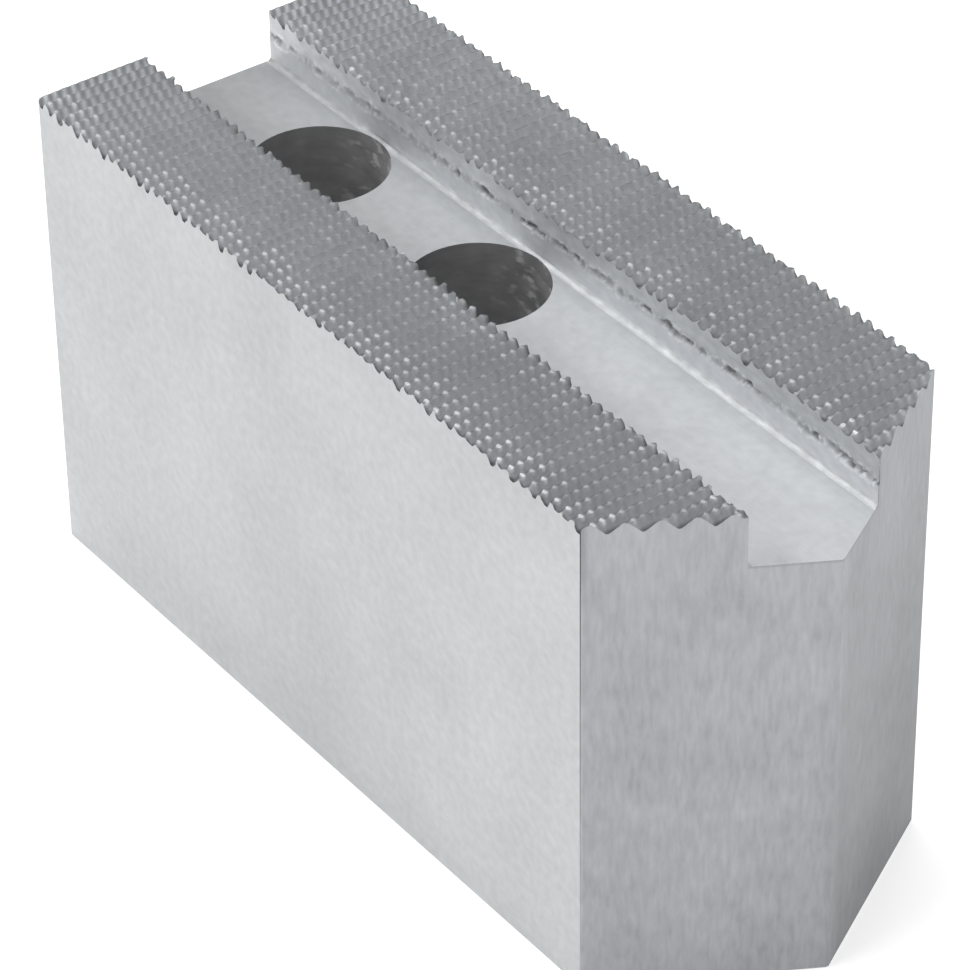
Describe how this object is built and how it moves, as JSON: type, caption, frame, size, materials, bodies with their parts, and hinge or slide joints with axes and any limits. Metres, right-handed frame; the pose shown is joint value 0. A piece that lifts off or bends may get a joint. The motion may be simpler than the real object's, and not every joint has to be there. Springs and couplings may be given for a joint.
{
  "type": "machinable soft jaw",
  "caption": "Pointed soft top jaw for a power lathe chuck, with a serrated mounting face, a key slot and counterbored bolt holes.",
  "frame": {"origin": "on the flat work face, midway along the jaw's length and on its centre line", "axes": "+X towards the pointed nose, +Z from the work face to the serrated mounting face, Y across the jaw"},
  "size_m": [0.0946, 0.0382, 0.0508],
  "materials": {
    "machined_steel": "milled and drawn low-carbon steel, matte, unplated"
  },
  "bodies": {
    "root": {"soft_jaw": "machined_steel"}
  },
  "joints": []
}
